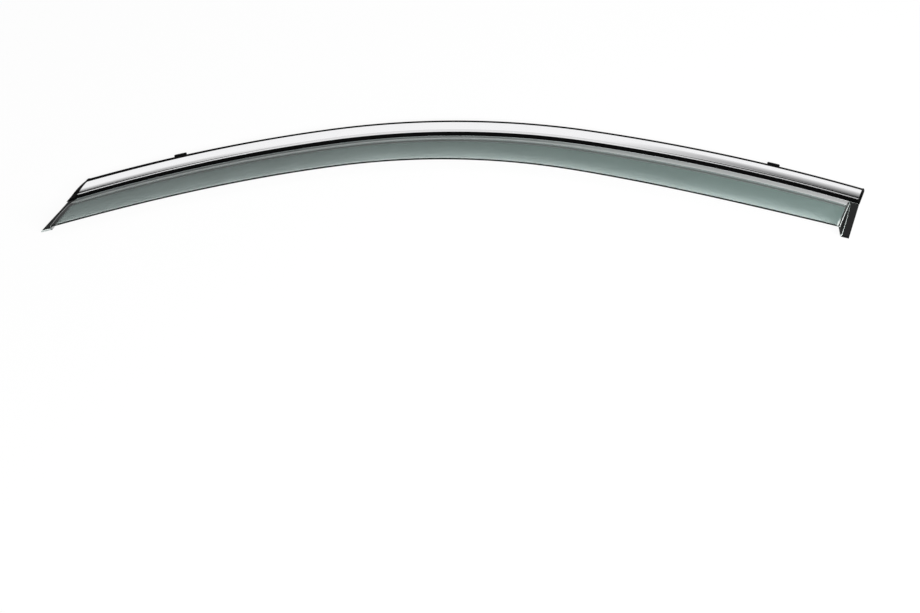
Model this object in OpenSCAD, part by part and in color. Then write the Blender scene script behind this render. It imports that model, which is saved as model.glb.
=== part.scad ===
// Window rain deflector for a front door, lying face up, sizes in millimetres.
// X runs along the door, rear end at +X. Y runs up the door, towards the top edge.
// Z points away from the glass.
// The origin is the middle of the outline, on the plane that the mounting tape sticks to.
// Places on the part are given in edge coordinates: along is the length along the top edge from its
// crown point, rearwards positive, and across is the distance inwards from the top edge.

/* [Top edge] */
// Radius of the top edge over the crown
crown_r = 845; // [700:5:1000]
// Radius of the top edge down to the front tip
front_flank_r = 1590; // [1200:10:2400]
// Radius of the top edge down to the rear end
rear_flank_r = 1860; // [1200:10:2600]
// Length of the crown's arc in front of the crown point
crown_front = 159; // [100:1:220]
// Length of the crown's arc behind the crown point
crown_rear = 172; // [100:1:220]
// Length along the edge from the crown point to the front end line
front_len = 465; // [380:1:520]
// Length along the edge from the crown point to the rear end line
rear_len = 510; // [420:1:560]
// How far the front end line slants forwards for each millimetre across
front_slant = 1.03; // [0.7:0.01:1.3]

/* [Shield moulding] */
// Wall of the smoked moulding
wall = 2.5; // [2:0.1:2.7]
// Width of the flat flange, from the top edge to the root of the shoulder
flange_w = 26.4; // [25.5:0.1:32]
// Rise of the shoulder, from the flange to the start of the face
shoulder_h = 5.9; // [4.6:0.1:7]
// Angle of the shoulder, up to the crown point
shoulder_angle = 33; // [28:1:40]
// Angle of the broader shoulder behind the crown
rear_shoulder_angle = 26; // [23:1:36]
// Outer radius at the root of the shoulder
root_r = 2; // [1:0.1:3]
// Outer radius at the crest of the shoulder
crest_r = 20; // [8:1:24]
// Slope of the face just below the crest
face_start = 17; // [12:1:22]
// Slope of the face at the front rim
face_end = 6; // [2:1:9]
// Distance from the top edge to the front rim, 540 mm in front of the crown point
reach_front = 69.5; // [64:0.1:74]
// Same distance, 250 mm in front of the crown point
reach_mid_front = 76.5; // [72:0.1:82]
// Same distance, at the crown point
reach_crown = 80.5; // [76:0.1:86]
// Same distance, 250 mm behind the crown point
reach_mid_rear = 87.8; // [82:0.1:92]
// Same distance, 500 mm behind the crown point
reach_rear = 85.2; // [80:0.1:92]

/* [End walls and feet] */
// Lean of the end walls, from upright
end_draft = 18; // [8:1:24]
// Outer radius of the corner between the face and an end wall
corner_r = 3; // [2.9:0.1:4]
// Radius at the foot of an end wall
foot_root_r = 0.6; // [0.4:0.1:2]
// Distance from the front end line to the foot's outer edge, where the foot leaves the flange
front_foot = 8.1; // [8:0.1:10]
// How much the front foot widens for each millimetre across
front_foot_flare = 0.175; // [0.15:0.005:0.26]
// How far the front wall's foot stands back from the rim above it
front_rake = 7; // [0:0.5:10]
// How much further back the front foot's outer corner stands
front_foot_setback = 1; // [0:0.5:8]
// Distance from the rear end line to the foot's outer edge, where the foot leaves the flange
rear_foot = 13; // [12.5:0.1:15]
// How much the rear foot widens for each millimetre across
rear_foot_flare = 0.058; // [0.04:0.002:0.12]
// How far the rear wall's foot stands back from the rim above it
rear_rake = -1; // [-2:0.5:4]
// How much further back the rear foot's outer corner stands
rear_foot_setback = 0.5; // [0:0.5:6]

/* [Trim strip] */
// Sheet of the stainless strip
strip_t = 0.5; // [0.4:0.05:0.6]
// Distance from the top edge to the strip's upper edge
strip_start = 2.3; // [1.8:0.1:2.6]
// Width of the strip, with its bead
strip_w = 17.9; // [17:0.1:18.6]
// Width of the bead along the strip's lower edge
bead_w = 1.9; // [1.5:0.1:2.3]
// Height of the strip's crown above the flange
strip_crown = 2.9; // [2.6:0.1:3.4]
// Height of the strip's edges above the flange
strip_edge = 1.5; // [1.3:0.1:1.7]
// Distance from the front end line to the strip's front end
strip_front = 3.4; // [2.8:0.1:4.4]
// Distance from the rear end line to the strip's rear end
strip_rear = 10.9; // [9.4:0.1:11.4]

/* [Carrier] */
// Thickness of the carrier's lip outside the flange
lip_w = 1.3; // [1:0.1:1.5]
// Height of the carrier's lip above the flange
lip_h = 1.4; // [1.2:0.1:1.7]
// Height of the carrier's lower band above the flange, beside the strip
band_h = 1.1; // [0.9:0.05:1.3]
// Height of the carrier's lower band above the flange, at its thin edge
band_edge_h = 0.3; // [0.2:0.05:0.6]
// Floor of the carrier under the strip's turned-down edges
groove_floor = 0.4; // [0.3:0.05:0.6]

/* [End caps] */
// Thickness of a cap's skin over the strip
cap_skin = 0.4; // [0.35:0.05:0.7]
// Length of strip that a cap covers
cap_cover = 1; // [0.6:0.1:2]
// Length of the front cap beyond the strip, at the top edge
front_cap = 2.3; // [2.2:0.1:3.6]
// How much the front cap widens for each millimetre across
front_cap_flare = 0.17; // [0.12:0.005:0.2]
// Length of the rear cap beyond the strip
rear_cap = 2.8; // [2.4:0.1:4]
// How far a cap overhangs the end of the flange
cap_overhang = 0.8; // [0.4:0.1:1.2]
// Radius of each cap's outer corner at the top edge
cap_corner_r = 5; // [3:0.5:6]

/* [Tape and pads] */
// Thickness of the foam tape and of the foot pads
tape_t = 1.1; // [1:0.1:1.6]
// Width of the tape
tape_w = 16; // [10:0.5:18]
// Distance from the top edge to the tape
tape_start = 5; // [3:0.5:7]
// Space between the tape and a clip or a foot
tape_gap = 3; // [1:0.5:8]
// Margin of a foot pad inside the side edges of its foot
pad_margin = 0.5; // [0.3:0.1:2]
// Distance from the front foot's tip to its pad
front_pad_end = 4; // [1:0.1:5]
// Distance from the rear foot's tip to its pad
rear_pad_end = 0.8; // [0.4:0.1:3]

/* [Clips] */
// Spring steel of the clips
clip_t = 0.8; // [0.6:0.1:1]
// Width of a clip
clip_w = 16; // [12:0.5:20]
// Length of a clip's leg under the flange
clip_leg = 15; // [12:0.5:18]
// How far a clip stands out from the top edge
clip_out = 3.2; // [2.6:0.1:5]
// Height of a clip's lip above the flange's underside
clip_lip_h = 4.4; // [3:0.1:6]
// Inner radius of a clip's bend
clip_bend_r = 0.8; // [0.5:0.1:1.2]
// Distance from the front end line to the middle of the front clip
front_clip_from_end = 113; // [60:1:200]
// Distance from the rear end line to the middle of the rear clip
rear_clip_from_end = 104; // [60:1:200]
// Diameter of the moulded stakes that hold a clip
stake_d = 3; // [2:0.1:4]
// Distance between a clip's two stakes
stake_pitch = 8; // [6.5:0.5:9]
// Distance from the top edge to the stakes
stake_at = 9; // [7:0.5:10]

/* [Fits] */
// Sliding clearance between parts that fit in each other
fit = 0.1; // [0.05:0.01:0.15]

/* [Hidden] */
$fn = 48;

// Heights of the flange's two faces
flange_bottom = tape_t;
flange_top = tape_t + wall;
// Places of the clips along the top edge
front_clip_at = -front_len + front_clip_from_end;
rear_clip_at = rear_len - rear_clip_from_end;
// Outer edge of the flange, inside the carrier's lip
flange_start = lip_w + fit;
// Number of steps along the main length, and the length over which the slant of the front end dies away
main_steps = 46;
slant_zone = 220;
// A millimetre square to the slanted front end is this much along the edge
front_stretch = sqrt(1 + front_slant * front_slant);
// Lowest run of an end wall, where the face is level with the flange
least_run = 1.5;
// Length behind the crown point over which the shoulder broadens
shoulder_zone = 240;
// Steps in the rounding of a corner or a shoulder radius, in the face and in the rim
arc_steps = 4;
face_steps = 6;
rim_steps = 4;
// Space beside a cap's end block and the strip's end
cap_gap = 0.15;

// The top edge is three tangent arcs. Turn of the edge, in degrees, at a length along it.
function turn(along) =
    along < -crown_front ? -deg_of(crown_front, crown_r) + deg_of(along + crown_front, front_flank_r)
    : along > crown_rear ? deg_of(crown_rear, crown_r) + deg_of(along - crown_rear, rear_flank_r)
    : deg_of(along, crown_r);
function deg_of(length, radius) = length / radius * 180 / PI;
function around(radius, angle) = radius * [sin(angle), cos(angle)];

// Centre of the arc that a length along the edge belongs to
crown_centre = [0, -crown_r];
front_centre = crown_centre + around(crown_r - front_flank_r, turn(-crown_front));
rear_centre = crown_centre + around(crown_r - rear_flank_r, turn(crown_rear));
function arc_centre(along) =
    along < -crown_front ? front_centre
    : along > crown_rear ? rear_centre
    : crown_centre;
function arc_radius(along) =
    along < -crown_front ? front_flank_r
    : along > crown_rear ? rear_flank_r
    : crown_r;

// Plan position of a place given in edge coordinates
function plan(along, across) = arc_centre(along) + around(arc_radius(along) - across, turn(along));
function place(along, across, height) = [each plan(along, across), height];

// The reach of the shield: the one smooth curve through the five named reaches
reach_knots = [
    [-540, reach_front],
    [-250, reach_mid_front],
    [0, reach_crown],
    [250, reach_mid_rear],
    [500, reach_rear]
];
function weight(i, along, j = 0) =
    j == len(reach_knots) ? 1
    : j == i ? weight(i, along, j + 1)
    : (along - reach_knots[j][0]) / (reach_knots[i][0] - reach_knots[j][0]) * weight(i, along, j + 1);
function reach(along) = sum([for (i = [0 : len(reach_knots) - 1]) reach_knots[i][1] * weight(i, along)]);
function sum(list, i = 0) = i == len(list) ? 0 : list[i] + sum(list, i + 1);

function ease(x) = let (c = min(1, max(0, x))) c * c * (3 - 2 * c);
// Slope of the shoulder at a length along the edge
function slope_at(along) =
    shoulder_angle + (rear_shoulder_angle - shoulder_angle) * ease(along / shoulder_zone);

// Width of the flat line of faces beside the root
root_margin = 0.6;
function root_point(a) = [flange_w + root_r * sin(a), flange_top + root_r * (1 - cos(a))];
// Run of an arc as its slope falls from one angle to another
function arc_run(radius, from, to) = radius * [sin(from) - sin(to), cos(to) - cos(from)];
function straight_rise(slope) =
    shoulder_h - root_r * (1 - cos(slope)) - arc_run(crest_r, slope, face_start)[1];
// Section of the moulding's outer face, from the flange to the rim, as [across, height] points.
// Root arc, straight shoulder, crest arc, then one large arc from face_start to face_end.
function section(width, slope) =
    let (root_end = root_point(slope),
        crest_start = root_end + straight_rise(slope) * [1 / tan(slope), 1],
        crest_end = crest_start + arc_run(crest_r, slope, face_start),
        face_radius = (width - wall / 2 - crest_end[0]) / (sin(face_start) - sin(face_end)))
    concat(
        [for (i = [0 : 2]) [flange_start + (flange_w - root_margin - flange_start) * i / 2, flange_top]],
        [for (i = [0 : arc_steps - 1]) root_point(slope * i / arc_steps)],
        [root_end, (root_end + crest_start) / 2],
        [for (i = [0 : arc_steps])
            crest_start + arc_run(crest_r, slope, slope + (face_start - slope) * i / arc_steps)],
        [for (i = [1 : face_steps])
            let (a = face_start + (face_end - face_start) * i / face_steps)
            crest_end + arc_run(face_radius, face_start, a)]
    );
// The crest's end and the rim in a section
function crest_across(profile) = profile[len(profile) - 1 - face_steps][0];
function rim_across(profile) = profile[len(profile) - 1][0];

// Profile of an end wall that drops by a height, as [outwards, down] points: corner, wall, then root of
// the foot. Where the drop is too small for the full turn, the two radii meet at a smaller angle.
function end_turn(drop) = acos(max(1 - drop / (corner_r + foot_root_r), sin(end_draft)));
function wall_run(drop, a) = max(0, drop - (corner_r + foot_root_r) * (1 - cos(a))) / max(sin(a), 0.01);
function end_run(drop) = let (a = end_turn(drop))
    (corner_r + foot_root_r) * sin(a) + wall_run(drop, a) * cos(a);
end_steps = 2 * arc_steps;
function end_point(drop, step) =
    let (a = end_turn(drop), turned = a * min(step, arc_steps) / arc_steps,
        left = a * (1 - max(0, step - arc_steps) / arc_steps),
        straight = step > arc_steps ? wall_run(drop, a) : 0,
        spread = max(0, least_run - end_run(drop)) * step / end_steps)
    corner_r * [sin(turned), 1 - cos(turned)]
    + straight * [cos(a), sin(a)]
    + (step > arc_steps ? foot_root_r * [sin(a) - sin(left), cos(left) - cos(a)] : [0, 0])
    + [spread, 0];

// Lines across the part. A main station is [along at the top edge, slant], and the slant dies away
// from the front end.
main_stations = [for (i = [0 : main_steps])
    let (along = -front_len + (front_len + rear_len) * i / main_steps)
    [along, front_slant * (1 - ease((along + front_len) / slant_zone))]];
function along_at(station, across) = station[0] - station[1] * across;
function front_along(across, out) = -front_len - front_slant * across - front_stretch * out;
function rear_along(across, out) = rear_len + out;

// Outer face of the moulding on a main station
function main_row(station) =
    let (width = reach(along_at(station, reach(station[0]))))
    [for (p = section(width, slope_at(station[0]))) place(along_at(station, p[0]), p[0], p[1])];

// Outer face on an end station. Under a cap the flange ends a little inside the cap, and below it the
// foot flares. The wall's foot is raked back from the rim in proportion to its drop, and the foot's edge
// a little further.
function front_section() = section(reach(front_along(reach(-front_len), 0)), slope_at(-front_len));
function rear_section() = section(reach(rear_len), slope_at(rear_len));
function cap_length(is_front, across) =
    is_front ? strip_front + front_cap + front_cap_flare * across : strip_rear + rear_cap;
function foot_edge(is_front, across) =
    across < flange_w ? cap_length(is_front, across) - cap_overhang
    : is_front ? front_foot + front_foot_flare * (across - flange_w)
    : rear_foot + rear_foot_flare * (across - flange_w);
function end_across(is_front, profile, across, lowered, outside) =
    let (rake = is_front ? front_rake : rear_rake,
        setback = is_front ? front_foot_setback : rear_foot_setback,
        crest = crest_across(profile),
        share = max(0, across - crest) / (rim_across(profile) - crest))
    across - (rake * lowered + setback * outside) * share;
function end_along(is_front, across, out) = is_front ? front_along(across, out) : rear_along(across, out);
function end_row(is_front, step) =
    let (profile = is_front ? front_section() : rear_section(),
        outside = step > end_steps ? 1 : 0)
    [for (p = profile)
        let (drop = p[1] - flange_top,
            at = step > end_steps ? [foot_edge(is_front, p[0]), drop] : end_point(drop, step),
            across = end_across(is_front, profile, p[0], drop > 0 ? at[1] / drop : 0, outside))
        place(end_along(is_front, across, at[0]), across, p[1] - at[1])];

// The moulding's outer face as rows of points, front foot to rear foot
shield_rows = concat(
    [for (i = [end_steps + 1 : -1 : 1]) end_row(true, i)],
    [for (station = main_stations) main_row(station)],
    [for (i = [1 : end_steps + 1]) end_row(false, i)]
);

function unit(v) = v / norm(v);
// Normal of a grid of points, from the mean directions along its rows and columns
function side(rows, k, j, dk, dj) = unit(rows[k + dk][j + dj] - rows[k][j]);
function grid_normal(rows, k, j) =
    let (last_k = len(rows) - 1, last_j = len(rows[0]) - 1,
        rearwards = k < last_k ? side(rows, k, j, 1, 0) : [0, 0, 0],
        forwards = k > 0 ? side(rows, k, j, -1, 0) : [0, 0, 0],
        inwards = j < last_j ? side(rows, k, j, 0, 1) : [0, 0, 0],
        outwards = j > 0 ? side(rows, k, j, 0, -1) : [0, 0, 0])
    unit(cross(inwards - outwards, rearwards - forwards));

// A closed ring across the moulding: outer face, round front rim, inner face one wall below
function shield_ring(rows, k) =
    let (last = len(rows[0]) - 1,
        normals = [for (j = [0 : last]) grid_normal(rows, k, j)],
        rim_out = unit(rows[k][last] - rows[k][last - 1]),
        rim_centre = rows[k][last] - normals[last] * wall / 2)
    concat(
        rows[k],
        [for (i = [1 : rim_steps]) let (a = 180 * i / (rim_steps + 1))
            rim_centre + (normals[last] * cos(a) + rim_out * sin(a)) * wall / 2],
        [for (j = [last : -1 : 0]) rows[k][j] - normals[j] * wall]
    );
shield_rings = [for (k = [0 : len(shield_rows) - 1]) shield_ring(shield_rows, k)];

// Crown height of the strip, a parabola between its edges, and its outer face as [across, height] points
bead_start = strip_start + strip_w - bead_w;
function crown_height(across) =
    let (x = 2 * (across - strip_start) / (bead_start - strip_start) - 1)
    flange_top + strip_edge + (strip_crown - strip_edge) * (1 - x * x);
crown_steps = 8;
// Rounding of the strip's edges, depth of the valley beside the bead, and rise of the bead above
// the strip's edge
bend = 0.5;
valley = 0.25;
bead_rise = 0.05;
strip_end = strip_start + strip_w;
strip_edge_top = flange_top + strip_edge;
function crown_place(i) = strip_start + (bead_start - strip_start) * (i - 0.5) / crown_steps;
strip_top = concat(
    [[strip_start, flange_top + groove_floor], [strip_start, strip_edge_top - bend]],
    [for (i = [1 : crown_steps]) [crown_place(i), crown_height(crown_place(i))]],
    [[bead_start, strip_edge_top - valley],
        [bead_start + bead_w * 0.3, strip_edge_top + bead_rise],
        [bead_start + bead_w * 0.65, strip_edge_top],
        [strip_end, strip_edge_top - bend],
        [strip_end, flange_top + groove_floor]]
);

// A line offset to its right-hand side, the sheet or clearance below a face drawn left to right
function line_normal(points, i) =
    let (last = len(points) - 1,
        direction = (i < last ? unit(points[i + 1] - points[i]) : [0, 0])
            + (i > 0 ? unit(points[i] - points[i - 1]) : [0, 0]),
        flat = unit(direction),
        straight = i < last ? unit(points[i + 1] - points[i]) : flat)
    [flat[1], -flat[0]] / max(0.5, flat * straight);
function offset_line(points, distance) =
    [for (i = [0 : len(points) - 1]) points[i] + distance * line_normal(points, i)];
function reversed(list) = [for (i = [len(list) - 1 : -1 : 0]) list[i]];

strip_ring = concat(strip_top, reversed(offset_line(strip_top, strip_t)));

// The carrier: lip, groove, crown under the strip, groove, lower band, then the flat on the flange.
// Groove for a turned-down edge of the strip, rounding of the lip and of the groove's edges, and bow of
// the lower band
groove_w = strip_t + 2 * fit;
lip_r = 0.85;
groove_edge = 0.3;
band_bow = 0.1;
// Distance from the carrier's thin edge to the root of the shoulder, at its top and underneath
band_gap = 0.4;
seat_gap = 0.2;
lip_top = flange_top + lip_h;
groove_bottom = flange_top + groove_floor;
groove_out = strip_start - fit;
groove_in = strip_end + fit;
carrier_top = concat(
    [[0, flange_bottom], [0, lip_top - lip_r], [lip_r * 0.3, lip_top - lip_r * 0.3], [lip_r, lip_top],
        [groove_out - groove_edge, lip_top], [groove_out, lip_top - groove_edge],
        [groove_out, groove_bottom], [groove_out + groove_w, groove_bottom]],
    [for (i = [2 : crown_steps]) [crown_place(i), crown_height(crown_place(i)) - strip_t - 2 * fit]],
    [[bead_start, strip_edge_top - valley - strip_t - 3 * fit],
        [groove_in - groove_w, groove_bottom + fit],
        [groove_in - groove_w / 2, groove_bottom], [groove_in, groove_bottom],
        [groove_in, flange_top + band_h - groove_edge], [groove_in + groove_edge, flange_top + band_h],
        [(strip_end + flange_w) / 2, flange_top + (band_h + band_edge_h) / 2 + band_bow],
        [flange_w - band_gap, flange_top + band_edge_h]]
);
carrier_bottom = [for (i = [0 : len(carrier_top) - 1])
    i == 0 ? [lip_w, flange_bottom]
    : [lip_w + (flange_w - seat_gap - lip_w) * (i - 1) / (len(carrier_top) - 2), flange_top]];
carrier_ring = concat(carrier_top, reversed(carrier_bottom));

// Rings of a section carried along the top edge from the strip's front end to its rear end
strip_stations = concat(
    [[-front_len - front_stretch * strip_front, front_slant]],
    main_stations,
    [[rear_len + strip_rear, 0]]
);
function carried(ring) = [for (station = strip_stations)
    [for (p = ring) place(along_at(station, p[0]), p[0], p[1])]];

// A cap's outer face over the strip, and its inner face: over the strip first, round the flange after it
cap_line = concat([[0, flange_bottom], [0, lip_top]],
    [for (i = [0 : crown_steps]) let (x = strip_start + (bead_start - strip_start) * i / crown_steps)
        [x, crown_height(x)]],
    [[strip_end, strip_edge_top], [(strip_end + 3 * flange_w) / 4, flange_top + band_h],
        [flange_w - seat_gap, flange_top + band_edge_h]]);
cap_outside = offset_line(cap_line, -cap_skin - fit);
cap_over_strip = offset_line(cap_line, -fit);
cap_round_flange = [for (i = [0 : len(cap_line) - 1])
    i == 0 ? [lip_w, flange_bottom]
    : [lip_w + (flange_w - lip_w) * (i - 1) / (len(cap_line) - 2), flange_top]];

// Outline of a cap beyond the strip, with its outer corner rounded where it meets the top edge
corner_depth = min(0.8 * cap_corner_r, front_cap - cap_overhang - cap_gap);
function corner_cut(across) = let (x = min(1, max(0, (across + cap_skin) / cap_corner_r)))
    corner_depth * (1 - sqrt(1 - (1 - x) * (1 - x)));
function cap_reach(is_front, across) =
    cap_length(is_front, across) - (is_front ? strip_front : strip_rear) - corner_cut(across);
// Shares of the cap's reach at its rows, and how far each row is lowered to dome its end
cap_shares = [0.1, 0.55, 0.85, 0.97, 1];
cap_drops = [0, 0.1, 0.5, 1, 1.7];
// Height of a cap's lowered end above the flange, at least
cap_least = 0.15;
function cap_place(is_front, across, out, height) =
    is_front ? place(front_along(across, strip_front + out), across, height)
    : place(rear_along(across, strip_rear + out), across, height);
function cap_ring(is_front, outs, outside, inside, lower = 0) =
    concat(
        [for (i = [0 : len(outside) - 1]) let (p = outside[i])
            cap_place(is_front, p[0], outs[i], i == 0 ? p[1] : max(p[1] - lower, flange_top + cap_least))],
        [for (i = [len(inside) - 1 : -1 : 0]) cap_place(is_front, inside[i][0], outs[i], inside[i][1])]
    );
// How far a row of the end block stands out from the strip's end, point by point
block_start = cap_gap + fit;
function cap_outs(is_front, share) =
    [for (p = cap_outside) block_start + share * (cap_reach(is_front, p[0]) - block_start)];
function cap_rings(is_front) =
    let (n = len(cap_line) - 1)
    concat(
        [for (out = [-cap_cover, cap_gap])
            cap_ring(is_front, [for (i = [0 : n]) out], cap_outside, cap_over_strip)],
        [for (k = [0 : len(cap_shares) - 1])
            let (outs = cap_outs(is_front, cap_shares[k]))
            cap_ring(is_front, outs, cap_outside, cap_round_flange, cap_drops[k])]
    );

// The outline's middle becomes the origin
front_tip = min([for (ring = shield_rings) each [for (p = ring) p[0]]]);
rear_tip = max([for (ring = cap_rings(false)) each [for (p = ring) p[0]]]);
lowest = min([for (ring = shield_rings) each [for (p = ring) p[1]]]);
middle = [(front_tip + rear_tip) / 2, lowest / 2];

// Solid through a list of rings with as many points each, from the front to the rear. A ring runs across
// its outer face and back, so an end closes with a strip of four-sided patches between its two halves.
module loft(rings) {
    count = len(rings[0]);
    last = len(rings) - 1;
    sides = [for (k = [0 : last - 1], i = [0 : count - 1])
        let (a = k * count + i, b = k * count + (i + 1) % count)
        each [[a, b + count, b], [a, a + count, b + count]]];
    ends = [for (i = [0 : count / 2 - 2])
        let (a = i, b = i + 1, c = count - 2 - i, d = count - 1 - i, e = last * count)
        each [[a, b, c], [a, c, d], [e + a, e + c, e + b], [e + a, e + d, e + c]]];
    translate([-middle[0], -middle[1], 0])
        polyhedron(points = [for (ring = rings) each ring], faces = concat(sides, ends), convexity = 6);
}

// Places something at a length along the top edge, its own +Y pointing outwards from the edge
module at_edge(along) {
    translate([each (plan(along, 0) - middle), 0])
        rotate([0, 0, -turn(along)])
            children();
}

module visor_shield() {
    color([0.33, 0.38, 0.36])
        union() {
            loft(shield_rings);
            stakes(front_clip_at);
            stakes(rear_clip_at);
        }
}

// Two stakes under the flange, flush with the clip that they hold
module stakes(along) {
    at_edge(along)
        for (x = [-stake_pitch / 2, stake_pitch / 2])
            translate([x, -stake_at, flange_bottom - clip_t])
                cylinder(d = stake_d, h = clip_t + wall / 2);
}

module trim_carrier() {
    color([0.06, 0.06, 0.06])
        loft(carried(carrier_ring));
}

module chrome_trim() {
    color([0.85, 0.86, 0.87])
        loft(carried(strip_ring));
}

module front_end_cap() {
    color([0.05, 0.05, 0.05])
        loft(reversed(cap_rings(true)));
}

module rear_end_cap() {
    color([0.05, 0.05, 0.05])
        loft(cap_rings(false));
}

// A run of tape under the flange between two lengths along the edge
tape_step = 20;
module tape(from, to) {
    steps = ceil((to - from) / tape_step);
    lines = [for (i = [0 : steps]) from + (to - from) * i / steps];
    color([0.16, 0.16, 0.17])
        translate([-middle[0], -middle[1], 0])
            linear_extrude(height = tape_t)
                polygon(concat(
                    [for (along = lines) plan(along, tape_start)],
                    [for (along = reversed(lines)) plan(along, tape_start + tape_w)]
                ));
}

module front_tape() {
    tape(-front_len + tape_gap, front_clip_at - clip_w / 2 - tape_gap);
}

module middle_tape() {
    tape(front_clip_at + clip_w / 2 + tape_gap, rear_clip_at - clip_w / 2 - tape_gap);
}

module rear_tape() {
    tape(rear_clip_at + clip_w / 2 + tape_gap, rear_len - tape_gap);
}

// Points of the end's section that a foot pad runs past. The last one lies between the section's last two
// points, short of the foot's tip.
least_share = 0.1;
function pad_points(is_front, profile) =
    let (last = len(profile) - 1,
        tips = [for (i = [last - 1, last]) end_across(is_front, profile, profile[i][0], 1, 1)],
        share = 1 - (is_front ? front_pad_end : rear_pad_end) / (tips[1] - tips[0]))
    concat(
        [for (i = [arc_steps : last - 1]) profile[i]],
        [profile[last - 1] + max(least_share, share) * (profile[last] - profile[last - 1])]
    );
// Inner or outer edge of a foot pad, inside the edge of its foot
function pad_edge(is_front, profile, outside) =
    [for (p = pad_points(is_front, profile))
        let (out = outside == 1 ? foot_edge(is_front, p[0]) - pad_margin
                : max(least_run, end_run(p[1] - flange_top)) + pad_margin,
            across = end_across(is_front, profile, p[0], 1, outside))
        plan(end_along(is_front, across, out), across)];
module foot_pad(is_front) {
    profile = is_front ? front_section() : rear_section();
    inner = pad_edge(is_front, profile, 0);
    outer = pad_edge(is_front, profile, 1);
    color([0.1, 0.1, 0.1])
        translate([-middle[0], -middle[1], 0])
            linear_extrude(height = tape_t)
                polygon(concat(inner, reversed(outer)));
}

module front_foot_pad() {
    foot_pad(true);
}

module rear_foot_pad() {
    foot_pad(false);
}

// Clip: a leg under the flange, a bend outside the carrier's lip and an upright lip
module clip(along) {
    bend_out = clip_bend_r + clip_t;
    bend_y = clip_out - bend_out;
    leg_z = flange_bottom - clip_t;
    color([0.09, 0.09, 0.1])
        at_edge(along)
            difference() {
                translate([clip_w / 2, 0, 0])
                    rotate([90, 0, -90])
                        linear_extrude(height = clip_w)
                            union() {
                                translate([-bend_y, leg_z])
                                    square([clip_leg + bend_y, clip_t]);
                                translate([-bend_y, leg_z + bend_out])
                                    difference() {
                                        circle(r = bend_out);
                                        circle(r = clip_bend_r);
                                        translate([0, -2 * bend_out])
                                            square(4 * bend_out);
                                        translate([-2 * bend_out, 0])
                                            square(4 * bend_out);
                                    }
                                translate([-clip_out, leg_z + bend_out])
                                    square([clip_t, clip_lip_h - bend_out + clip_t]);
                            }
                for (x = [-stake_pitch / 2, stake_pitch / 2])
                    translate([x, -stake_at, leg_z - 1])
                        cylinder(d = stake_d + 2 * fit, h = clip_t + 2);
            }
}

module front_clip() {
    clip(front_clip_at);
}

module rear_clip() {
    clip(rear_clip_at);
}

visor_shield();
trim_carrier();
chrome_trim();
front_end_cap();
rear_end_cap();
front_tape();
middle_tape();
rear_tape();
front_foot_pad();
rear_foot_pad();
front_clip();
rear_clip();
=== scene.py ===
"""Looks for a window rain deflector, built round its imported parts.

Sizes are in metres, in the part's frame: X along the door to its rear end, Y up the door, Z away from the
glass.
Shapes are worked out in edge coordinates: along is the length along the top edge from its crown point,
rearwards positive, and across is the distance inwards from the top edge.
"""
import math

import bpy
import numpy as np
from bpy.props import FloatProperty, FloatVectorProperty, PointerProperty
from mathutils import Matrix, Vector


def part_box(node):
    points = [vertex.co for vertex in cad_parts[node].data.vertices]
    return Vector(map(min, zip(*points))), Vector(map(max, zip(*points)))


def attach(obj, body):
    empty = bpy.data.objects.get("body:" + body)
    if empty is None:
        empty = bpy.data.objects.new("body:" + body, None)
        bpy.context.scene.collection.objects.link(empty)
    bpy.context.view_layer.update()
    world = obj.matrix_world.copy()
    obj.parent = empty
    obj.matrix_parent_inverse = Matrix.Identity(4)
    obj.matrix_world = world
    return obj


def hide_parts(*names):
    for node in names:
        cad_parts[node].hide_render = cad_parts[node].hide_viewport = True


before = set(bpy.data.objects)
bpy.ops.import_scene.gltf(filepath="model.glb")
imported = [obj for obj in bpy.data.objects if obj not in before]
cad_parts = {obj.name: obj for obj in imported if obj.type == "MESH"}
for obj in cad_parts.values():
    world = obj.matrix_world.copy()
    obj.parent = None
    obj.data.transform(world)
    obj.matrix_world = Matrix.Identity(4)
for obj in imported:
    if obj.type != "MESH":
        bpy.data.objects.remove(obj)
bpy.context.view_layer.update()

bl_info = {
    "name": "Window rain deflector",
    "version": (1, 0, 0),
    "blender": (4, 5, 0),
    "location": "3D View > Sidebar > Deflector",
    "description": "Moulded shield, bright trim, end caps, clips and tape of a window rain deflector",
    "category": "Object",
}


# Properties


def length(name, description, millimetres):
    """A length property, given in millimetres and kept in metres."""
    metres = millimetres / 1000
    return FloatProperty(name=name, description=description, default=metres, unit="LENGTH", precision=4)


def angle(name, description, degrees):
    """An angle property, given in degrees and kept in radians."""
    return FloatProperty(name=name, description=description, default=math.radians(degrees), unit="ROTATION")


def ratio(name, description, value):
    """A plain number."""
    return FloatProperty(name=name, description=description, default=value)


def colour(name, description, red, green, blue):
    """A colour property."""
    shade = (red, green, blue)
    return FloatVectorProperty(name=name, description=description, default=shade, subtype="COLOR", size=3)


class EdgeSizes(bpy.types.PropertyGroup):
    """The top edge, three tangent arcs, and the two end lines."""

    crown_r: length("Crown radius", "Radius of the top edge over the crown", 845)
    front_flank_r: length("Front flank radius", "Radius of the top edge down to the front tip", 1590)
    rear_flank_r: length("Rear flank radius", "Radius of the top edge down to the rear end", 1860)
    crown_front: length("Crown front", "Length of the crown's arc in front of the crown point", 159)
    crown_rear: length("Crown rear", "Length of the crown's arc behind the crown point", 172)
    front_len: length("Front length", "Length from the crown point to the front end line", 465)
    rear_len: length("Rear length", "Length from the crown point to the rear end line", 510)
    front_slant: ratio("Front slant", "How far the front end line slants forwards for each unit across", 1.03)
    slant_zone: length("Slant zone", "Length over which the slant of the front end dies away", 220)


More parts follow.
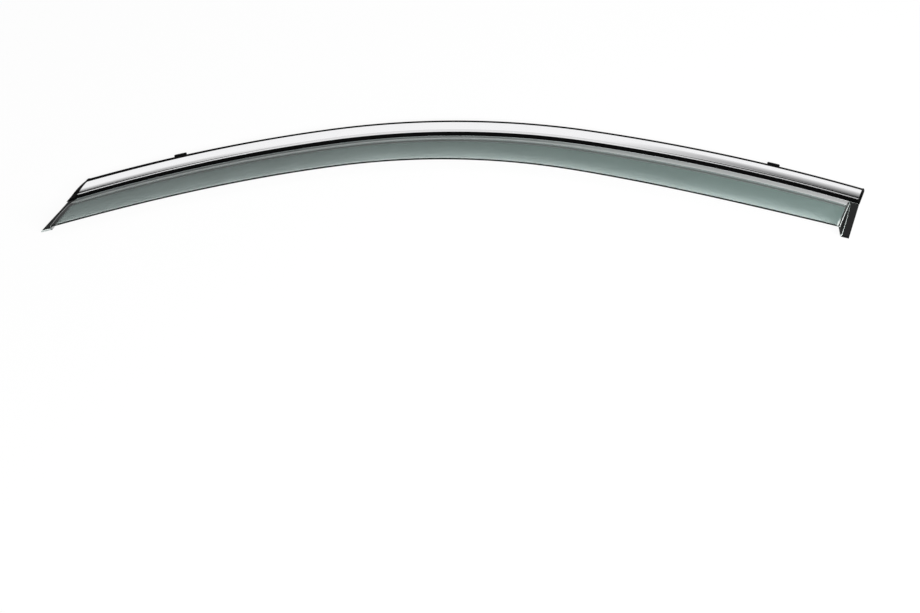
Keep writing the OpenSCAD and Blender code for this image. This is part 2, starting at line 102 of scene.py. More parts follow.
class ShieldSizes(bpy.types.PropertyGroup):
    """The smoked moulding: flange, shoulder, face, end walls and feet."""

    wall: length("Wall", "Wall of the smoked moulding", 2.5)
    tape_t: length("Tape", "Thickness of the foam tape under the flange", 1.1)
    flange_w: length("Flange width", "Width of the flat flange", 26.4)
    shoulder_h: length("Shoulder height", "Rise of the shoulder", 5.9)
    shoulder_angle: angle("Shoulder angle", "Angle of the shoulder, up to the crown point", 33)
    rear_shoulder_angle: angle("Rear shoulder angle", "Angle of the broader shoulder behind the crown", 26)
    shoulder_zone: length("Shoulder zone", "Length behind the crown over which the shoulder broadens", 240)
    root_r: length("Root radius", "Outer radius at the root of the shoulder", 2)
    crest_r: length("Crest radius", "Outer radius at the crest of the shoulder", 20)
    face_start: angle("Face start", "Slope of the face just below the crest", 17)
    face_end: angle("Face end", "Slope of the face at the front rim", 6)
    reach_front: length("Front reach", "Distance from the top edge to the rim at the front end", 69.5)
    reach_mid_front: length("Middle front reach", "Same distance, 250 mm in front of the crown point", 76.5)
    reach_crown: length("Crown reach", "Same distance, at the crown point", 80.5)
    reach_mid_rear: length("Middle rear reach", "Same distance, 250 mm behind the crown point", 87.8)
    reach_rear: length("Rear reach", "Same distance, 500 mm behind the crown point", 85.2)
    end_draft: angle("End draft", "Lean of the end walls, from upright", 18)
    corner_r: length("Corner radius", "Outer radius of the corner between the face and an end wall", 3)
    foot_root_r: length("Foot root radius", "Radius at the foot of an end wall", 0.6)
    least_run: length("Least run", "Lowest run of an end wall, where the face is level with the flange", 1.5)
    front_foot: length("Front foot", "Distance from the front end line to the front foot's outer edge", 8.1)
    front_foot_flare: ratio("Front foot flare", "How much the front foot widens for each unit across", 0.175)
    front_rake: length("Front rake", "How far the front wall's foot stands back from the rim", 7)
    front_setback: length("Front setback", "How much further back the front foot's corner stands", 1)
    rear_foot: length("Rear foot", "Distance from the rear end line to the rear foot's outer edge", 13)
    rear_foot_flare: ratio("Rear foot flare", "How much the rear foot widens for each unit across", 0.058)
    rear_rake: length("Rear rake", "How far the rear wall's foot stands back from the rim", -1)
    rear_setback: length("Rear setback", "How much further back the rear foot's corner stands", 0.5)
    edge_r: length("Edge radius", "Rounding of the feet's cut edges", 0.4)


class TrimSizes(bpy.types.PropertyGroup):
    """The bright strip, its carrier and the end caps."""

    strip_t: length("Strip sheet", "Sheet of the bright strip", 0.5)
    strip_start: length("Strip start", "Distance from the top edge to the strip", 2.3)
    strip_w: length("Strip width", "Width of the strip, with its bead", 17.9)
    bead_w: length("Bead width", "Width of the bead along the strip's lower edge", 1.4)
    front_shift: length("Front shift", "How far the strip's front end stands further in", 1.3)
    shift_zone: length("Shift zone", "Length over which the front shift dies away", 260)
    strip_crown: length("Strip crown", "Height of the strip's crown above the flange", 2.9)
    strip_edge: length("Strip edge", "Height of the strip's edges above the flange", 1.5)
    valley: length("Valley", "Depth of the valley beside the bead", 0.7)
    valley_w: length("Valley width", "Width of the valley's slope beside the bead", 2.0)
    bead_rise: length("Bead rise", "Rise of the bead above the strip's edge", 0.05)
    strip_front: length("Strip front", "Distance from the front end line to the strip's end", 3.4)
    strip_rear: length("Strip rear", "Distance from the rear end line to the strip's end", 10.9)
    lip_w: length("Lip width", "Thickness of the carrier's lip outside the flange", 1.3)
    lip_h: length("Lip height", "Height of the carrier's lip above the flange", 1.4)
    lip_curl: length("Lip curl", "How far the carrier's lip curls over the strip's edge", 1.3)
    band_h: length("Band height", "Height of the carrier's lower band beside the strip", 1.1)
    band_edge_h: length("Band edge", "Height of the carrier's lower band at its thin edge", 0.3)
    groove_floor: length("Groove floor", "Floor of the carrier under the strip's edges", 0.4)
    cap_skin: length("Cap skin", "Thickness of a cap's skin over the strip", 0.4)
    cap_cover: length("Cap cover", "Length of strip that a cap covers", 1)
    front_cap: length("Front cap", "Length of the front cap beyond the strip", 2.3)
    front_cap_flare: ratio("Front cap flare", "How much the front cap widens for each unit across", 0.17)
    rear_cap: length("Rear cap", "Length of the rear cap beyond the strip", 2.8)
    cap_relief: length("Cap relief", "How much shorter a smooth cap is than its faceted form", 0.32)
    cap_overhang: length("Cap overhang", "How far a cap overhangs the end of the flange", 0.8)
    cap_corner_r: length("Cap corner", "Radius of each cap's outer corner", 5)
    cap_dome: length("Cap dome", "How far a cap's end is rounded down", 1.7)
    fit: length("Fit", "Clearance between parts that fit in each other", 0.1)


class ClipSizes(bpy.types.PropertyGroup):
    """The two spring clips and the stakes that hold them."""

    clip_t: length("Clip sheet", "Spring steel of the clips", 0.8)
    clip_w: length("Clip width", "Width of a clip", 16)
    clip_leg: length("Clip leg", "Length of a clip's leg under the flange", 15)
    clip_out: length("Clip out", "How far a clip stands out from the top edge", 3.2)
    clip_lip_h: length("Clip lip", "Height of a clip's lip above the flange's underside", 4.4)
    clip_bend_r: length("Clip bend", "Inner radius of a clip's bend", 0.8)
    front_from_end: length("Front clip", "Distance from the front end line to the front clip", 113)
    rear_from_end: length("Rear clip", "Distance from the rear end line to the rear clip", 104)
    stake_d: length("Stake", "Diameter of the moulded stakes", 3)
    stake_pitch: length("Stake pitch", "Distance between a clip's two stakes", 8)
    stake_at: length("Stake place", "Distance from the top edge to the stakes", 9)


class FinishColours(bpy.types.PropertyGroup):
    """Colours of the finishes, and the pale colours of the moulding's painted highlights."""

    smoke: colour("Smoke", "Tint of the see-through moulding", 0.325, 0.385, 0.372)
    # Partly real satin and partly a painted highlight: the pale grey laid along the shoulder as a reflection
    satin: colour("Satin", "Grey of the moulding's satin shoulder", 0.86, 0.84, 0.85)
    # Painted highlight: the pale colour laid along the rim and on the glints and pale lines at the end walls
    rim: colour("Rim", "Pale edge of the moulding's rim", 0.75, 0.8, 0.78)
    bright: colour("Bright steel", "Polished stainless steel", 0.90, 0.90, 0.91)
    black: colour("Black", "Black of the carrier and the caps", 0.001, 0.001, 0.0011)
    clip_black: colour("Clip black", "Black coating of the clips", 0.005, 0.005, 0.0055)
    foam: colour("Foam", "Dark grey of the mounting foam", 0.006, 0.006, 0.0065)
    floor: colour("Floor", "Pale floor under the object", 0.86, 0.86, 0.86)


# Shapes

# Steps across the shield's face, stations along the top edge, and the least sine that a run is divided by
FACE_STEPS, STATIONS, LEAST_SINE = 30, 241, 0.01
# Small distances, in metres: an edge's rounding, and the gap between a cap and the end of what it covers
HAIR, CAP_GAP = 0.0001, 0.00015


def unit(vectors):
    """Vectors scaled to length 1."""
    return vectors / np.linalg.norm(vectors, axis=-1, keepdims=True)


def running(steps):
    """Running total of steps, from 0."""
    return np.concatenate([[0], np.cumsum(steps)])


def up_to_one(count):
    """Even steps up to 1, without 0."""
    return np.linspace(0, 1, count + 1)[1:]


def rounding(x):
    """Drop of a quarter circle: 1 where x is 0, and 0 where x is 1."""
    return 1 - np.sqrt(1 - (1 - x) ** 2)


def signed_power(x, power):
    """A power of x with the sign of x. Of a cosine and a sine it draws a superellipse."""
    return np.sign(x) * np.abs(x) ** power


def ease(x):
    """Smooth step from 0 to 1: three squares less two cubes."""
    x = np.clip(x, 0, 1)
    return x * x * (3 - 2 * x)


def by_arc(edge, along, front, middle, rear):
    """The value for the arc that a place along the top edge lies on."""
    return np.where(along < -edge.crown_front, front, np.where(along > edge.crown_rear, rear, middle))


def turn_at(edge, along):
    """Turn of the top edge at a length along it: length over radius, summed over the arcs."""
    front = -edge.crown_front / edge.crown_r + (along + edge.crown_front) / edge.front_flank_r
    rear = edge.crown_rear / edge.crown_r + (along - edge.crown_rear) / edge.rear_flank_r
    return by_arc(edge, along, front, along / edge.crown_r, rear)


def plan(edge, along, across):
    """Plan position in the top edge's frame: arc centre, plus radius less across, at the edge's turn."""
    turn = turn_at(edge, along)
    front_turn, rear_turn = -edge.crown_front / edge.crown_r, edge.crown_rear / edge.crown_r
    front_gap, rear_gap = edge.crown_r - edge.front_flank_r, edge.crown_r - edge.rear_flank_r
    centre_x = by_arc(edge, along, front_gap * math.sin(front_turn), 0, rear_gap * math.sin(rear_turn))
    centre_y = by_arc(edge, along, front_gap * math.cos(front_turn), 0, rear_gap * math.cos(rear_turn))
    radius = by_arc(edge, along, edge.front_flank_r, edge.crown_r, edge.rear_flank_r) - across
    return centre_x + radius * np.sin(turn), centre_y - edge.crown_r + radius * np.cos(turn)


def part_shift(edge, trim):
    """The crown point of the top edge in the part's frame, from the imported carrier's rear end and top."""
    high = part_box("trim_carrier")[1]
    rear_x, _ = plan(edge, edge.rear_len + trim.strip_rear, 0.0)
    return np.array([high.x - float(rear_x), high.y, 0.0])


def place(edge, trim, along, across, height):
    """Points in the part's frame, from arrays of along, across and height."""
    x, y = plan(edge, along, across)
    return np.stack(np.broadcast_arrays(x, y, height), -1) + part_shift(edge, trim)


def set_at(edge, trim, at, across, x, y, z):
    """Points given rearwards of, outwards from and above one place, turned with the top edge there."""
    place_x, place_y = plan(edge, at, across)
    turn = float(turn_at(edge, at))
    c, s = math.cos(turn), math.sin(turn)
    points = np.broadcast_arrays(place_x + x * c + y * s, place_y - x * s + y * c, z)
    return np.stack(points, -1) + part_shift(edge, trim)


def reach_at(shield, along):
    """Reach of the shield: the fourth-order curve through the five named reaches."""
    knots = (-0.54, -0.25, 0.0, 0.25, 0.5)
    reaches = (shield.reach_front, shield.reach_mid_front, shield.reach_crown, shield.reach_mid_rear,
               shield.reach_rear)
    return np.polyval(np.polyfit(knots, reaches, 4), along)


def stations(edge):
    """Lines across the part: places along the top edge, and slants, which die away from the front."""
    along = np.linspace(-edge.front_len, edge.rear_len, STATIONS)
    return along, edge.front_slant * (1 - ease((along + edge.front_len) / edge.slant_zone))


def front_stretch(edge):
    """A unit square to the slanted front end is this much along the edge."""
    return math.hypot(1, edge.front_slant)


def end_along(edge, is_front, across, out):
    """Place along the edge of a point out beyond an end line."""
    if is_front:
        return -edge.front_len - edge.front_slant * across - front_stretch(edge) * out
    return edge.rear_len + out


def slope_at(shield, along):
    """Slope of the shoulder: constant up to the crown point, then easing to its rear value."""
    broader = shield.rear_shoulder_angle - shield.shoulder_angle
    return shield.shoulder_angle + broader * ease(along / shield.shoulder_zone)


def section(shield, trim, widths, slopes):
    """Sections of the outer face: flange, root arc, straight shoulder, crest arc, then one large face arc.

    Returns across and height, a row for each width and slope. The last point lies half a wall inside the rim.
    """

    def arc(start, radius, first, turns):
        """An arc on from the end of a line, from the slope first to the slopes turns.

        The radius times the sines' difference runs across, and times the cosines' difference upwards.
        """
        across, height = (v[:, -1:] for v in start)
        across = across + radius * (np.sin(first) - np.sin(turns))
        return across, height + radius * (np.cos(turns) - np.cos(first))

    width, slope = np.atleast_1d(widths)[:, None], np.atleast_1d(slopes)[:, None]
    level = np.zeros_like(width)
    before_root = 0.0006
    flange = level + np.linspace(trim.lip_w + trim.fit, shield.flange_w - before_root, 7)
    root = arc((level + shield.flange_w, level), -shield.root_r, 0, slope * np.linspace(0, 1, 9))
    crest_rise = shield.crest_r * (math.cos(shield.face_start) - np.cos(slope))
    rise = (shield.shoulder_h - root[1][:, -1:] - crest_rise) * up_to_one(8)
    straight = root[0][:, -1:] + rise / np.tan(slope), root[1][:, -1:] + rise
    crest = arc(straight, shield.crest_r, slope, slope + (shield.face_start - slope) * up_to_one(16))
    sines = math.sin(shield.face_start) - math.sin(shield.face_end)
    radius = (width - shield.wall / 2 - crest[0][:, -1:]) / sines
    turns = np.linspace(shield.face_start, shield.face_end, FACE_STEPS + 1)[1:]
    face = arc(crest, radius, shield.face_start, turns)
    lines = zip((flange, flange * 0), root, straight, crest, face)
    across, height = (np.concatenate(line, 1) for line in lines)
    return across, height + shield.tape_t + shield.wall


def cap_length(edge, trim, is_front, across):
    """Distance from an end line to the cap's end."""
    if is_front:
        return trim.strip_front + trim.front_cap + trim.front_cap_flare * across
    return trim.strip_rear + trim.rear_cap


def end_rows(edge, shield, trim, is_front, phases):
    """Rows round an end of the moulding, by phase: 0 to 1 turns the corner, 1 to 2 goes down the wall, 2 to 3
    turns on to the foot, 3 to 4 crosses the foot, and 4 to 5 rounds its edge.

    Returns the points and how much each row is thinned.
    """
    side, end = ("front", -edge.front_len) if is_front else ("rear", edge.rear_len)
    names = ("_foot", "_foot_flare", "_rake", "_setback")
    foot_w, flare, rake, setback = (getattr(shield, side + name) for name in names)
    width = reach_at(shield, end_along(edge, is_front, reach_at(shield, end), 0))
    across, height = (v[0] for v in section(shield, trim, width, slope_at(shield, end)))
    phase = phases[:, None]
    drop = height - (shield.tape_t + shield.wall)
    radii = shield.corner_r + shield.foot_root_r
    a = np.arccos(np.maximum(1 - drop / radii, math.sin(shield.end_draft)))
    wall_run = np.maximum(0, drop - radii * (1 - np.cos(a))) / np.maximum(np.sin(a), LEAST_SINE)
    run = radii * np.sin(a) + wall_run * np.cos(a)
    turned, left = a * np.clip(phase, 0, 1), a * (1 - np.clip(phase - 2, 0, 1))
    slide = wall_run * np.clip(phase - 1, 0, 1)
    out = shield.corner_r * np.sin(turned) + slide * np.cos(a)
    out = out + shield.foot_root_r * (np.sin(a) - np.sin(left))
    out = out + np.maximum(0, shield.least_run - run) * np.clip(phase / 3, 0, 1)
    down = shield.corner_r * (1 - np.cos(turned)) + slide * np.sin(a)
    down = down + shield.foot_root_r * (np.cos(left) - np.cos(a))
    beyond = foot_w + flare * (across - shield.flange_w)
    under_cap = cap_length(edge, trim, is_front, across) - trim.cap_overhang
    beyond = np.where(across < shield.flange_w, under_cap, beyond) - shield.edge_r
    foot = np.clip(phase - 3, 0, 1)
    bevel = np.clip(phase - 4, 0, 1) * math.pi / 2
    out = out * (1 - foot) + beyond * foot + shield.edge_r * np.sin(bevel)
    crest = across[-1 - FACE_STEPS]
    share = np.maximum(0, across - crest) / (across[-1] - crest)
    lowered = np.where(drop > 0, down / np.where(drop > 0, drop, 1), 0)
    shifted = across - (rake * lowered + setback * foot) * share
    points = place(edge, trim, end_along(edge, is_front, shifted, out), shifted, height - down)
    return points, shield.edge_r * (1 - np.cos(bevel[:, 0]))


def grid_normals(points):
    """Unit normals of a grid: the sum of the crossed diagonals of the cells round each point."""
    cells = np.cross(points[1:, 1:] - points[:-1, :-1], points[1:, :-1] - points[:-1, 1:])
    total = np.zeros_like(points)
    total[:-1, :-1] += cells
    total[1:, :-1] += cells
    total[:-1, 1:] += cells
    total[1:, 1:] += cells
    return unit(total)


def shield_rings(edge, shield, trim):
    """Closed rings across the moulding: outer face, half-round rim, and inner face one wall below."""
    turns = np.concatenate([up_to_one(12), [2.0], 2 + up_to_one(6), 3 + up_to_one(8), 4 + up_to_one(4)])
    front, front_thin = end_rows(edge, shield, trim, True, turns[::-1])
    rear, rear_thin = end_rows(edge, shield, trim, False, turns)
    at, slant = stations(edge)
    widths = reach_at(shield, at - slant * reach_at(shield, at))
    across, height = section(shield, trim, widths, slope_at(shield, at))
    main = place(edge, trim, at[:, None] - slant[:, None] * across, across, height)
    rows = np.concatenate([front, main, rear])
    thin = np.concatenate([front_thin, np.zeros(len(main)), rear_thin])[:, None, None]
    normals = grid_normals(rows)
    last = normals[:, -1]
    outwards = rows[:, -1] - rows[:, -2]
    outwards = unit(outwards - last * np.sum(outwards * last, -1, keepdims=True))
    # A trace less than half the wall, so that the smooth rim stays inside the faceted solid's box
    rim_r = 0.995 * shield.wall / 2
    a = (np.pi * np.arange(1, 13) / 13)[None, :, None]
    rim = last[:, None] * np.cos(a) + outwards[:, None] * np.sin(a)
    rim = rows[:, -1:] - last[:, None] * shield.wall / 2 + rim * (rim_r - thin)
    inner = rows - normals * (shield.wall - thin)
    return np.concatenate([rows - normals * thin, rim, inner[:, ::-1]], 1)


def crown_height(shield, trim, across):
    """Height of the strip's crown, a parabola between its edges."""
    bead_start = trim.strip_start + trim.strip_w - trim.bead_w
    x = 2 * (across - trim.strip_start) / (bead_start - trim.strip_start) - 1
    rise = trim.strip_edge + (trim.strip_crown - trim.strip_edge) * (1 - x * x)
    return shield.tape_t + shield.wall + rise


def soften(points, cuts, steps=5):
    """A closed line with each corner replaced by a parabola that starts and ends one cut away from it."""
    before = np.roll(points, 1, 0) - points
    after = np.roll(points, -1, 0) - points
    room_before = np.linalg.norm(before, axis=1, keepdims=True)
    room_after = np.linalg.norm(after, axis=1, keepdims=True)
    cut = np.minimum(cuts[:, None], 0.48 * np.minimum(room_before, room_after))
    a, c = points + before / room_before * cut, points + after / room_after * cut
    t = np.linspace(0, 1, steps)[None, :, None]
    curve = a[:, None] * (1 - t) ** 2 + 2 * points[:, None] * t * (1 - t) + c[:, None] * t ** 2
    return curve.reshape(-1, 2)


def strip_ring(shield, trim):
    """Ring of the bright strip: rolled edge, crown, valley, bead and rolled edge, then its inside.

    The rolled edge is a quarter circle and the valley's slope a parabola. The bead is a superellipse: a power
    of its angle's cosine and sine flattens its top.
    """
    flange_top = shield.tape_t + shield.wall
    rolled, bead_turn, bead_power = 0.0009, 0.92 * math.pi, 0.55
    start, end = trim.strip_start, trim.strip_start + trim.strip_w
    bead = end - trim.bead_w
    x = np.linspace(start, bead - HAIR, 49)
    slope = np.clip((x - (bead - trim.valley_w)) / trim.valley_w, 0, 1)
    drop = rolled * rounding(np.clip((x - start) / rolled, 0, 1)) + trim.valley * slope ** 2
    crown = np.stack([x, crown_height(shield, trim, x) - drop], 1)
    a = np.linspace(bead_turn, 0, 17)
    half = (end - bead) / 2
    base = flange_top + trim.strip_edge - trim.valley
    top = base + (trim.valley + trim.bead_rise) * signed_power(np.sin(a), bead_power)
    round_bead = np.stack([bead + half + half * signed_power(np.cos(a), bead_power), top], 1)
    floor = flange_top + trim.groove_floor
    outer = np.concatenate([[[start, floor]], crown, round_bead, [[end, floor]]])
    inner = np.stack([np.clip(outer[:, 0], start + trim.strip_t, end - trim.strip_t),
                      np.maximum(outer[:, 1] - trim.strip_t, floor)], 1)
    return np.concatenate([outer, inner[::-1]])


def carrier_ring(shield, trim):
    """Ring of the carrier, with softened corners: a lip that curls over the strip, grooves for the strip's
    edges, a crown under the strip and a thin lower band.
    """
    flange_bottom, flange_top = shield.tape_t, shield.tape_t + shield.wall
    start, end = trim.strip_start - trim.fit, trim.strip_start + trim.strip_w + trim.fit
    groove = trim.strip_t + 2 * trim.fit
    floor = flange_top + trim.groove_floor
    curl_root_t, curl_tip_t, clear, groove_side, thin_edge = 0.0003, 0.00025, 0.00005, 0.0006, 0.0002
    x = np.linspace(start + groove + groove_side, end - trim.bead_w - trim.fit, 9)
    crown = np.stack([x, crown_height(shield, trim, x) - groove], 1)
    lip, band = flange_top + trim.lip_h, flange_top + trim.band_h
    curl_end = start + trim.lip_curl
    over_strip = crown_height(shield, trim, curl_end) + clear
    bow = (trim.band_h + trim.band_edge_h) / 2 + HAIR
    outer = np.array([
        [0, flange_bottom], [0, lip], [start, lip + curl_root_t], [curl_end, over_strip + curl_tip_t],
        [curl_end, over_strip], [start, lip], [start, floor], [start + groove, floor], *crown,
        [end - groove, floor], [end, floor], [end, band], [(end + shield.flange_w) / 2, flange_top + bow],
        [shield.flange_w - 2 * thin_edge, flange_top + trim.band_edge_h],
        [shield.flange_w - thin_edge, flange_top],
        [trim.lip_w, flange_top], [trim.lip_w, flange_bottom],
    ])
    cuts = np.full(len(outer), HAIR)
    cuts[1:5] = 0.0006, 0.0003, 0.0002, 0.0001
    cuts[-6:-2] = 0.0003, 0.002, 0.00012, 0.00005
    return soften(outer, cuts)


def moved_in(edge, trim, along, across):
    """Across, moved inwards towards the front end for the strip, but not at the flange's edges."""
    borders = (0.0003, 0.001, 0.0215, 0.0262)
    share = np.interp(across, borders, (0, 1, 1, 0)) * (1 - ease((along + edge.front_len) / trim.shift_zone))
    return across + trim.front_shift * share


def carried(edge, trim, ring):
    """A ring of (across, height) points carried along the edge, from the strip's front to its rear end."""
    at, slant = stations(edge)
    front = -edge.front_len - front_stretch(edge) * trim.strip_front
    at = np.concatenate([[front], at, [edge.rear_len + trim.strip_rear]])
    slant = np.concatenate([[edge.front_slant], slant, [0.0]])
    across = moved_in(edge, trim, at[:, None], ring[None, :, 0])
    return place(edge, trim, at[:, None] - slant[:, None] * across, across, ring[None, :, 1])


def cap_lines(shield, trim):
    """The cap's line over lip, strip and band, its outward directions, and its line round the flange."""
    flange_bottom, flange_top = shield.tape_t, shield.tape_t + shield.wall
    end = trim.strip_start + trim.strip_w
    lip_round, bead_round, thin_edge = 0.0003, 0.0005, 0.0002
    x = np.linspace(trim.strip_start, end - trim.bead_w, 25)
    crown = np.stack([x, crown_height(shield, trim, x)], 1)
    corners = np.array([
        [0, flange_bottom], [0, (flange_bottom + flange_top) / 2], [0, flange_top + trim.lip_h - 4 * HAIR],
        [lip_round, flange_top + trim.lip_h], *crown,
        [end - bead_round, flange_top + trim.strip_edge], [end, flange_top + trim.strip_edge - HAIR],
        [(end + 3 * shield.flange_w) / 4, flange_top + trim.band_h],
        [shield.flange_w - thin_edge, flange_top + trim.band_edge_h],
    ])
    steps = running(np.linalg.norm(np.diff(corners, axis=0), axis=1))
    at = np.linspace(0, steps[-1], 90)
    line = np.stack([np.interp(at, steps, corners[:, 0]), np.interp(at, steps, corners[:, 1])], 1)
    tangent = np.gradient(line, axis=0)
    tangent[1:-1] = (tangent[:-2] + 2 * tangent[1:-1] + tangent[2:]) / 4
    tangent = unit(tangent)
    outward = np.stack([-tangent[:, 1], tangent[:, 0]], 1)
    inner = trim.lip_w + (shield.flange_w - trim.lip_w) * up_to_one(len(line) - 1)
    inner = np.stack([inner, np.full(len(inner), flange_top)], 1)
    return line, outward, np.concatenate([[[trim.lip_w, flange_bottom]], inner])


def cap_rings(edge, shield, trim, is_front):
    """Rings of a cap: a skin over the strip's end, then a block round the flange with a domed end.

    The end's corner is a quarter circle in plan, and its dome drops by a power of one less the cosine.
    """
    line, outward, round_flange = cap_lines(shield, trim)
    outside = line + outward * (trim.cap_skin + trim.fit)
    over_strip = line + outward * trim.fit
    depth = trim.front_cap - trim.cap_overhang if is_front else trim.rear_cap - trim.cap_relief
    x = np.clip((outside[:, 0] + trim.cap_skin) / trim.cap_corner_r, 0, 1)
    corner = (depth - CAP_GAP) * rounding(x)
    strip_out = trim.strip_front if is_front else trim.strip_rear
    reach = cap_length(edge, trim, is_front, outside[:, 0]) - strip_out - corner - trim.cap_relief
    first = CAP_GAP + trim.fit

    def ring(outs, outer, inner):
        """One closed ring, its outer line first and its inner line back."""
        across, height = np.concatenate([outer, inner[::-1]]).T
        across = moved_in(edge, trim, -edge.front_len, across) if is_front else across
        along = end_along(edge, is_front, across, strip_out + np.concatenate([outs, outs[::-1]]))
        return place(edge, trim, along, across, height)

    even = np.ones(len(line))
    thin_skin, lead = 0.3 * trim.cap_skin, 0.00025
    rings = [
        ring(-trim.cap_cover * even, line + outward * (trim.fit + thin_skin), over_strip),
        ring((lead - trim.cap_cover) * even, outside, over_strip),
        ring(CAP_GAP * even, outside, over_strip),
    ]
    floor = shield.tape_t + shield.wall + CAP_GAP
    first_share, dome_power = 0.1, 1.3
    for a in np.linspace(0, math.pi / 2, 12):
        lower = trim.cap_dome * (1 - math.cos(a)) ** dome_power
        height = np.where(outside[:, 1] > floor, np.maximum(outside[:, 1] - lower, floor), outside[:, 1])
        outs = first + (first_share + (1 - first_share) * math.sin(a)) * (reach - first)
        rings.append(ring(outs, np.stack([outside[:, 0], height], 1), round_flange))
    return np.array(rings[::-1] if is_front else rings)


def clip_rings(edge, shield, trim, clip, at):
    """Rings of a clip: a flat superellipse carried along its leg, round its bend and up its lip.

    Its two ends are quarter circles in plan, and their edges are thinned by quarter circles.
    """
    bend = clip.clip_bend_r + clip.clip_t / 2
    leg_z = shield.tape_t - clip.clip_t / 2
    lip_y = clip.clip_out - clip.clip_t / 2
    corner_r, edge_r, thinning = 0.0016, 0.0003, 0.6
    a = np.linspace(0, math.pi / 2, 13)
    leg = np.linspace(-clip.clip_leg, lip_y - bend, 10)[:-1]
    rise = np.linspace(leg_z + bend, shield.tape_t + clip.clip_lip_h, 15)[1:]
    path_y = np.concatenate([leg, lip_y - bend + bend * np.sin(a), np.full(len(rise), lip_y)])
    path_z = np.concatenate([np.full(len(leg), leg_z), leg_z + bend - bend * np.cos(a), rise])
    turn = np.concatenate([leg * 0, a, np.full(len(rise), math.pi / 2)])[:, None]
    gone = running(np.hypot(np.diff(path_y), np.diff(path_z)))
    left = gone[-1] - gone
    corners = rounding(np.clip(left / corner_r, 0, 1)) + rounding(np.clip(gone / corner_r, 0, 1))
    half_w = clip.clip_w / 2 - corner_r * corners
    half_t = clip.clip_t / 2 * (1 - thinning * rounding(np.clip(np.minimum(left, gone) / edge_r, 0, 1)))
    b = np.linspace(0, 2 * math.pi, 33)[:-1]
    x = half_w[:, None] * signed_power(np.cos(b), 0.25)
    offset = half_t[:, None] * signed_power(np.sin(b), 0.5)
    y, z = path_y[:, None] - np.sin(turn) * offset, path_z[:, None] + np.cos(turn) * offset
    return set_at(edge, trim, at, 0.0, x, y, z)


def stake_rings(edge, shield, trim, clip, at, side):
    """Rings of a stake: a round pin with a low domed head, turned about its axis."""
    radius, dome, root = clip.stake_d / 2, 0.0003, 0.0002
    a = np.linspace(0, math.pi / 2, 7)
    r = np.concatenate([np.sin(a) * radius, [radius, HAIR]])
    r[0] = HAIR
    head = shield.tape_t - clip.clip_t + dome * (1 - np.cos(a)) - HAIR
    z = np.concatenate([head, [shield.tape_t + root] * 2])
    b = np.linspace(0, 2 * math.pi, 25)[:-1]
    ring = np.stack([np.outer(r, np.cos(b)), np.outer(r, np.sin(b)), np.outer(z, np.ones(len(b)))], -1)
    return ring + set_at(edge, trim, at, clip.stake_at, side * clip.stake_pitch / 2, 0.0, 0.0)


# Meshes


def loft_faces(rings, closing):
    """Faces between neighbouring rings, and over the two ends: in pairs across the ring, or as one face."""
    count, points = rings.shape[:2]
    k, m = np.meshgrid(np.arange(count - 1), np.arange(points), indexing="ij")
    n = (m + 1) % points
    corners = [k * points + m, k * points + n, (k + 1) * points + n, (k + 1) * points + m]
    sides = np.stack(corners, -1).reshape(-1, 4)
    base = (count - 1) * points
    if closing == "pairs":
        i = np.arange(points // 2 - 1)
        first = np.stack([points - 1 - i, points - 2 - i, i + 1, i], 1)
        ends = [*first.tolist(), *(first[:, ::-1] + base).tolist()]
    else:
        ends = [list(range(points))[::-1], list(range(base, base + points))]
    return sides, ends


def signed_volume(rings):
    """Volume inside a loft, positive where its rings turn with their faces outwards."""
    a, b = rings[:-1], rings[1:]
    c, d = np.roll(a, -1, 1), np.roll(b, -1, 1)
    centre = rings.reshape(-1, 3).mean(0)
    a, b, c, d = a - centre, b - centre, c - centre, d - centre
    return (np.sum(a * np.cross(c, d)) + np.sum(a * np.cross(d, b))) / 6


def loft_piece(name, lofts, closing="pairs", sharp=35):
    """A mesh object from one or more lofts.

    Its UV map Surface runs along the rings' path and round each ring, in metres. Its UV map Profile holds the
    number of the ring and of the point in the ring, both as thousandths.
    """
    vertices, faces, surface, profile = [], [], [], []
    for rings in lofts:
        count, points = rings.shape[:2]
        number = np.arange(points + 1)
        if signed_volume(rings) < 0:
            rings, number = rings[:, ::-1], points - 1 - number
        sides, ends = loft_faces(rings, closing)
        along = running(np.linalg.norm(np.diff(rings.mean(1), axis=0), axis=1))
        middle = rings[count // 2]
        across = running(np.linalg.norm(np.roll(middle, -1, 0) - middle, axis=1))
        k, m = np.meshgrid(np.arange(count - 1), np.arange(points), indexing="ij")
        end_rings, end_points = np.divmod(np.concatenate(ends), points)
        at_ring = np.concatenate([np.stack([k, k, k + 1, k + 1], -1).ravel(), end_rings])
        at_point = np.concatenate([np.stack([m, m + 1, m + 1, m], -1).ravel(), end_points])
        surface.append(np.stack([along[at_ring], across[at_point]], -1))
        profile.append(np.stack([at_ring, number[at_point]], -1) / 1000)
        start = sum(len(v) for v in vertices)
        vertices.append(rings.reshape(-1, 3))
        faces += (sides + start).tolist() + [[v + start for v in face] for face in ends]
    mesh = bpy.data.meshes.new(name)
    mesh.from_pydata(np.concatenate(vertices).tolist(), [], faces)
    for layer_name, values in (("Surface", surface), ("Profile", profile)):
        layer = mesh.uv_layers.new(name=layer_name)
        layer.data.foreach_set("uv", np.concatenate(values).astype(np.float32).ravel())
    mesh.shade_smooth()
    mesh.set_sharp_from_angle(angle=math.radians(sharp))
    mesh.update()
    piece = bpy.data.objects.new(name, mesh)
    bpy.context.scene.collection.objects.link(piece)
    return piece


def sheet(name, material, left, right, front, rear, height, face=(0, 1, 2, 3)):
    """A flat rectangle of the stage, facing up or, with its corners in the other order, down."""
    mesh = bpy.data.meshes.new(name)
    corners = [(left, front, height), (right, front, height), (right, rear, height), (left, rear, height)]
    mesh.from_pydata(corners, [], [face])
    mesh.materials.append(material)
    made = bpy.data.objects.new(name, mesh)
    bpy.context.scene.collection.objects.link(made)
    return made


def fit_piece(piece, material, slot, *nodes):
    """Gives a piece its material and its place on the part, and hides the CAD nodes that it stands for."""
    piece.data.materials.append(material)
    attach(piece, "root")
    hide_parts(*nodes)


# Materials


